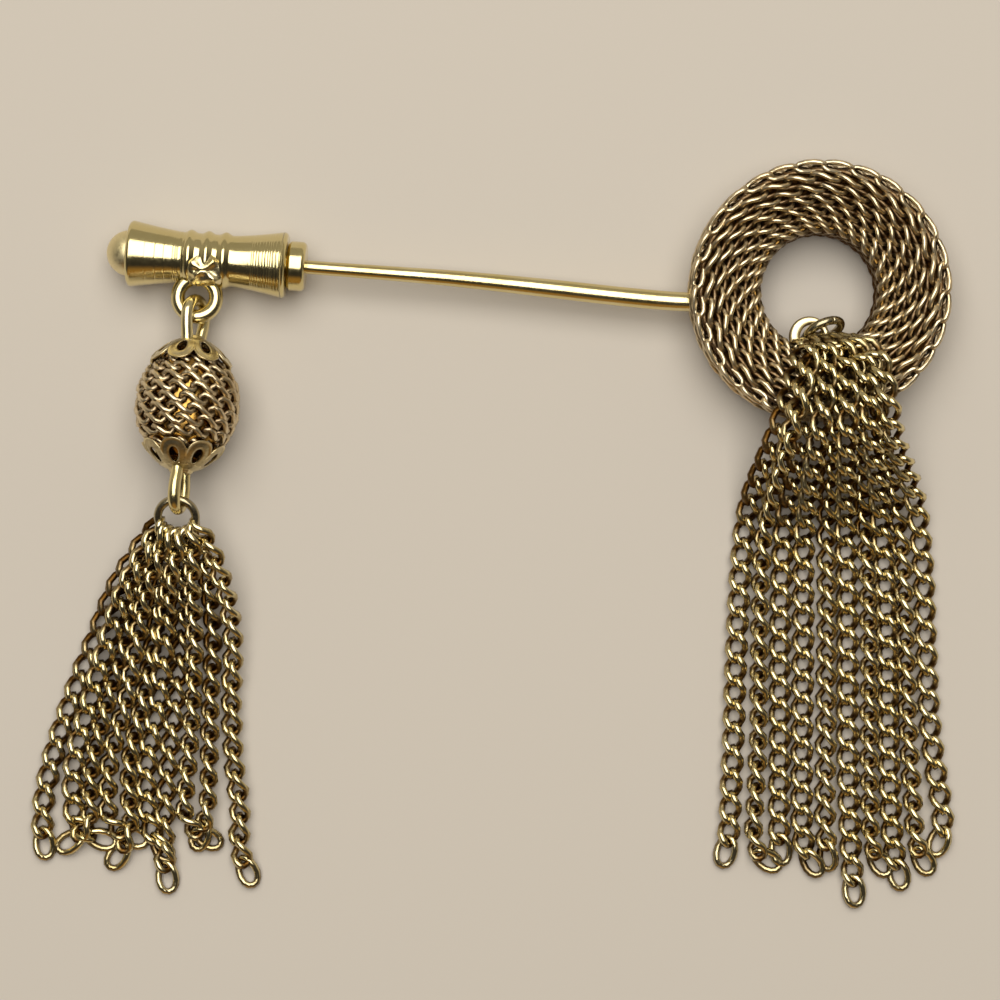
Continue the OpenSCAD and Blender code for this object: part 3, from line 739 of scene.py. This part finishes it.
def addEyelet(look):
    # a rounded box carried round a circle, from the hole's edge, which is inner + aside cos a from
    # the middle, to the outer edge
    a, b, outer = around(72)[:, None], around(16), look["outer"]
    inner = look["inner"] + look["holeAside"] * np.cos(a)
    x, z = squared(np.cos(b), look["square"]), squared(np.sin(b), look["square"]) * look["thick"] / 2
    radius = (outer + inner) / 2 + x * (outer - inner) / 2
    grid = np.stack([radius * np.cos(a), radius * np.sin(a), z + 0 * radius], -1)
    addPiece("eyelet_strap", skin(grid + look["middle"], True, True), "pin", sheetMetal, ["pin_frame"],
             np.ones(radius.size))


# Bead

beadLook = {
    "middle": [-26.38, 8.03, 4.5], "tip": -98, "turn": -4.5, "radius": 4.45, "halfLong": 4.6, "power": 2.5,
    "rows": 9, "links": 14, "reach": 3.88, "under": 0.74, "deep": 0.5, "twist": -38,
    "jitter": 0.03, "rollJitter": 8, "shortest": 0.85, "longest": 1.25,
}
beadLink = {**meshLink, "wire": 0.52, "wide": 0.92}


def fromBead(points):
    # the bead's own coordinates, with its long axis third, to the drawing's
    return points @ tipped(beadLook) + beadLook["middle"]


def beadRadius(a, look):
    # r = R (1 - (a / A)^p)^0.5
    return look["radius"] * np.sqrt(np.maximum(0, 1 - np.abs(a / look["halfLong"]) ** look["power"]))


def addBeadMesh(look, link):
    # rows of links, their middles "under" mm inside the bead's outline r(a) and facing square to
    # it; every other row is half a link on; worn = share of the way up a link
    a, near = np.linspace(-look["reach"], look["reach"], look["rows"]), 0.05
    slope = (beadRadius(a + near, look) - beadRadius(a - near, look)) / (2 * near)
    out = unit(np.stack([1 + 0 * a, -slope], 1))
    at = np.stack([beadRadius(a, look), a], 1) - look["under"] * out
    points, up = linkRows(look, link, at, out, np.arange(len(a)) % 2 / 2, look["deep"] + 0 * a,
                          look["twist"] + 0 * a, look["longest"])
    addPiece("bead_mesh_chain", linkSkin(fromBead(points), link), "clutch", meshMetal, ["bead_mesh"], up)


coreBall = {"radius": 3.6, "halfLong": 5.2, "power": 2.2, "to": 5.15}


def addBeadCore(look):
    # r(a) carried round the bead's axis, with its rows closer together at the poles
    a = np.sin(np.linspace(-1, 1, 60) * np.pi / 2) * look["to"]
    grid = lathe(np.stack([a, beadRadius(a, look)], 1), [0, 0, 0], [0, 0, 1], 64)
    addPiece("bead_ball", skin(fromBead(grid)), "clutch", ballCoreMetal, ["bead_core"])


capLook = {
    "radius": 4.05, "halfLong": 5.75, "power": 2.5,
    "lobes": 8, "tip": 3.36, "cusp": 4.26, "inner": 5.28,  # distances from the bead's middle, mm
    "thick": 0.26, "rim": 0.13,
    "hole": (4.62, 0.54, 0.48, 0.35),  # a drop: its middle, half length, half width, and how it narrows
    "overlap": 1.03, "lobePower": 0.62,  # the lobes' width, and how round their curve is
    "around": 40,
    "spin": {1: 9, -1: 13},  # degrees that the lobes are turned, for the upper and the lower cap
    "plateWorn": {1: 0.68, -1: 0.56},  # how much the plate is rubbed; the rims are all rubbed
    "back": (0.1, 0.2),  # what lies this deep is beneath the plate, and is rubbed this much
    # the plate's section, out along its top, round the border and back beneath: share of the way
    # from the hole to the border, and how high it stands or how deep it lies
    "section": [(0, -0.5), (0.03, -0.06), (0.3, 0), (0.62, 0), (0.82, 0.0), (0.88, 1.0), (0.96, 0.9),
                (1.0, 0.3), (1.0, -0.7), (0.9, -1), (0.5, -1), (0.03, -1), (0, -0.6)],
    # the pole's dished disc with a bead round the wire: distance from the bead's middle, radius
    "disc": [(5.18, 1.72), (5.2, 1.86), (5.26, 1.80), (5.34, 1.66), (5.46, 1.40), (5.56, 1.18), (5.62, 1.02),
             (5.72, 0.98), (5.86, 0.86), (5.92, 0.72), (5.9, 0.6), (5.7, 0.56), (5.4, 0.8), (5.1, 1.5)],
}


def addCap(name, look, end):
    # One patch for each lobe: its grid runs round the pierced hole, and from there out to the lobe's
    # curved edge, two straight sides and the ring at the pole. Its section is a thin plate with a
    # rounded rim along the lobe's edge.
    lobes, t = look["lobes"], around(look["around"])
    # the hole: an ellipse whose width shrinks towards the pole
    middle, long, wide, narrow = look["hole"]
    holeA = middle + long * np.sin(t)
    holeTurn = wide * (1 - narrow * (1 + np.sin(t)) / 2) * np.cos(t) / beadRadius(holeA, look)
    # the border: a square's outline bent so that its outer side follows the lobe's curve
    square = np.maximum(np.abs(np.cos(t)), np.abs(np.sin(t)))
    x, y = np.cos(t) / square, np.sin(t) / square
    curve = np.cos(np.pi / 2 * np.clip(np.abs(x), 0, 1)) ** look["lobePower"]
    edge = look["cusp"] - (look["cusp"] - look["tip"]) * curve
    borderA = edge + (look["inner"] - edge) * (y + 1) / 2
    borderTurn = np.pi / lobes * look["overlap"] * x
    share, lift = np.array(look["section"]).T
    outer = np.clip(-y, 0, 1) ** 2  # the rim is raised on the lobe's edge alone
    depth = np.where(lift > 0, lift * look["rim"] * outer[:, None], lift * look["thick"])
    a = holeA[:, None] + (borderA - holeA)[:, None] * share
    turn = holeTurn[:, None] + (borderTurn - holeTurn)[:, None] * share
    r = beadRadius(a, look) + depth
    angle = (around(lobes, 0.5) - np.pi / 2 + np.radians(look["spin"][end]))[:, None, None] + turn
    grid = np.stack([r * np.cos(angle), r * np.sin(angle), end * (a + 0 * angle)], -1)
    faces = repeated(gridFaces(len(t), len(share), True), len(t) * len(share), lobes)
    # the pole's disc, its outline waved by 3% in sixteen scallops
    disc = lathe(np.array(look["disc"]), [0, 0, 0], [0, 0, 1], sides=48)
    disc[..., :2] *= 1 + 0.03 * np.cos(16 * around(48))[:, None]
    disc[..., 2] *= end
    points = np.concatenate([grid.reshape(-1, 3), disc.reshape(-1, 3)])
    faces = np.concatenate([faces, gridFaces(*disc.shape[:2], True) + grid.size // 3])
    plate = look["plateWorn"][end]
    wearAndShade = np.where(depth > 0, 1.0, np.where(depth > -look["back"][0], plate, look["back"][1]))
    wearAndShade = np.concatenate([np.tile(wearAndShade.ravel(), lobes), np.full(disc.size // 3, (1 + plate) / 2)])
    faces = faces[:, ::-end]  # the upper cap's grids face inwards
    addPiece(name, (fromBead(points), faces, noFans), "clutch", sheetMetal, ["bead_" + name], wearAndShade)


eyeLook = {
    "wire": 1.02, "reach": 7.65, "radius": 1.36, "turn": 26,
    "legs": (5.2, 0.98, 1.1),  # where they start, how far apart, how soon they part
}
lowerEyeLook = {**eyeLook, "reach": 7.52, "turn": 11}


def addEye(name, look, end):
    # a hairpin of wire: up one side, half a circle over the top and down the other
    r, reach, (foot, apart, quick) = look["radius"], look["reach"], look["legs"]
    turns, leg = np.linspace(0, np.pi, 25), np.linspace(0, 1, 9)[:-1]
    arch = np.stack([r * np.cos(turns), reach + r * np.sin(turns)], 1)
    up = np.stack([apart + (r - apart) * ease(leg * quick), foot + (reach - foot) * leg], 1)
    across, along = np.concatenate([up, arch, up[::-1] * [-1, 1]]).T
    c, s = np.cos(np.radians(look["turn"])), np.sin(np.radians(look["turn"]))
    path, side = np.stack([across * s, across * c, end * along], 1), np.array([c, -s, 0.0])
    over = np.cross(unit(np.gradient(path, axis=0)), side)
    grid = wireRound(path, side, over, look["wire"] / 2, around(14))
    addPiece(name, skin(fromBead(grid)), "clutch", wireMetal, ["bead_wire"])


# Clutch

barrelLook = {
    "from": 1.6, "to": 15.1, "bore": 1.5, "boreEnd": 12.4, "rim": 0.38, "waist": 2.17,
    "flare": (0.63, 1.3, 6.2, 10.4),  # how far, to what power, and from where to each end
    "faceIn": 2.3, "cupIn": 1.2,  # radii where the collar's face starts and where the ball's cup ends
    "ridges": (6.9, 8.36, 9.85), "ridgeHigh": 0.24, "ridgeHalf": 0.62,
    "marks": [  # fine cuts: place, depth
        (2.15, 0.02), (2.45, 0.02), (2.72, 0.02), (2.9, 0.025), (3.1, 0.02), (3.35, 0.02), (3.58, 0.015),
        (3.88, 0.02), (4.1, 0.016), (4.33, 0.02), (4.49, 0.02), (10.2, 0.02), (10.44, 0.018), (10.74, 0.02),
        (10.9, 0.02), (11.1, 0.018), (11.85, 0.014), (12.6, 0.014), (13.45, 0.008)],
    "markHalf": 0.07,
}


def addBarrel(look):
    # Radius along the axis: a waist that flares to both rims as u^1.3, three raised half-cosine
    # ridges, rounded rims and fine cuts; the bore runs in from the collar's end.
    face, back, rim = look["from"], look["to"], look["rim"]
    low, high = face + rim, back - rim
    cuts = [mark + np.linspace(-1, 1, 7) * look["markHalf"] for mark, _ in look["marks"]]
    s = np.unique(np.concatenate([np.linspace(low, high, 260), *cuts]))

    def radiusAt(s):
        flare, power, left, right = look["flare"]
        toCollar = np.clip((left - s) / (left - low), 0, None)
        toBall = np.clip((s - right) / (high - right), 0, None)
        r = look["waist"] + flare * (toCollar ** power + toBall ** power)
        for ridge in look["ridges"]:
            r = r + look["ridgeHigh"] * fallOff(np.abs(s - ridge) / look["ridgeHalf"])
        for mark, deep in look["marks"]:
            r = r - deep * fallOff(np.abs(s - mark) / look["markHalf"])
        return r

    # each rim is a quarter circle, out to the flare's end
    q = np.linspace(0, np.pi / 2, 7)
    along, inward = rim * (1 - np.sin(q)), rim * (1 - np.cos(q))
    start = np.stack([face + along, radiusAt(low) - inward], 1)[-2::-1]
    end = np.stack([back - along, radiusAt(high) - inward], 1)[1:]
    r, inner, soft = look["bore"], look["boreEnd"], 0.1
    bore = [(inner, r - soft), (inner - soft, r), (face + soft, r), (face, r + soft), (face, look["faceIn"])]
    profile = np.concatenate([bore, start, np.stack([s, radiusAt(s)], 1), end, [(back, look["cupIn"])]])
    addPiece("barrel", skin(lathe(profile, collarAt, clutchAxis, sides=96), flip=True), "clutch",
             barrelMetal, ["clutch_barrel"])


loopLook = {"middle": [-25.68, 17.16, 3.45], "radius": 1.62, "wire": 1.22}
neckLook = {
    "middle": -24.86,
    # along it: place, half breadth, lowest and highest point
    "rows": [(21.0, 0.15, 4.7, 4.98), (20.7, 0.5, 4.5, 5.1), (20.35, 1.0, 4.4, 5.2), (20.0, 1.4, 4.3, 5.24),
             (19.6, 1.56, 4.1, 5.2), (19.2, 1.58, 3.4, 5.12), (18.8, 1.52, 1.9, 5.0), (18.5, 1.44, 2.1, 4.88),
             (18.25, 1.25, 2.6, 4.65), (18.1, 0.9, 3.2, 4.3)],
    "square": 0.58,  # the power that squares its section
    "lumps": [(0.05, 3, 2.3, 0), (0.04, 5, -3.1, 1)],  # broad flats: share, how many round, turn, start
    # two crossed folds that the solder drew into as it set: their middle, half length, height and
    # sharpness, how far aside they cross, and the part of the height by which the rest lies lower
    "fold": (19.3, 1.15, 0.24, 0.3, 0.12, 0.6),
}


def addLoop(look, neck):
    # ring of round wire, and its solder: a squarish neck that narrows from the barrel to the wire,
    # waved by a few broad flats, with folds as exp(-((|across| - |along|) / sharp)^2) on its top
    a = around(64)
    out = np.stack([np.cos(a), np.sin(a), 0 * a], 1)
    grid = wireRound(look["radius"] * out, out, np.array([0, 0, 1.0]), look["wire"] / 2, around(18))
    addPiece("loop_ring", skin(grid + look["middle"], True, True), "clutch", wireMetal, ["clutch_barrel"])
    row, c = np.array(neck["rows"]), around(96)
    steps = np.arange(len(row)) * 1.0
    place, half, low, high = (hermite(steps, column, 9)[0][:, None] for column in row.T)
    lumps = 1 + sum(share * np.sin(many * c + turn * place + on) for share, many, turn, on in neck["lumps"])
    across, over = squared(np.cos(c), neck["square"]), squared(np.sin(c), neck["square"])
    x = neck["middle"] + half * lumps * across
    z = (low + high) / 2 + (high - low) / 2 * lumps * over
    middle, long, rise, sharp, aside, below = neck["fold"]
    apart = np.abs(across + aside) - np.abs(place - middle) / long
    z = z + rise * (np.exp(-(apart / sharp) ** 2) - below) * np.clip(np.sin(c), 0, 1)
    addPiece("loop_solder", skin(np.stack([x, place + 0 * c, z], -1)), "clutch", solderMetal,
             ["clutch_barrel"])


def dressCadNode(name, material):
    # a part that keeps its CAD shape gets its metal
    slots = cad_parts[name].data.materials
    slots.clear()
    slots.append(material)


addCamera(cameraLook)
addTable(tableLook)
addLights(lightLook)
scene.view_settings.view_transform = "Standard"
print("camera, table and lights made")

addStem(stemLook)
addRingCore(ringLook)
addRingMesh(ringLook, meshLink)
addEyelet(eyeletLook)
addJumpRing("long_jump", longJump, "pin")
print("ring made")
addTassel("long", longLook, longJump, longRest, "pin", chainLook)
print("long tassel made")
addBeadMesh(beadLook, beadLink)
addJumpRing("short_jump", shortJump, "clutch")
addTassel("short", shortLook, shortJump, shortRest, "clutch", chainLook)
print("bead and short tassel made")

addCap("cap_top", capLook, 1)
addCap("cap_bottom", capLook, -1)
addEye("eye_top", eyeLook, 1)
addEye("eye_bottom", lowerEyeLook, -1)
addBarrel(barrelLook)
addLoop(loopLook, neckLook)
dressCadNode("clutch_ball", ballMetal)
dressCadNode("clutch_collar", barrelMetal)
addBeadCore(coreBall)
print("clutch made")
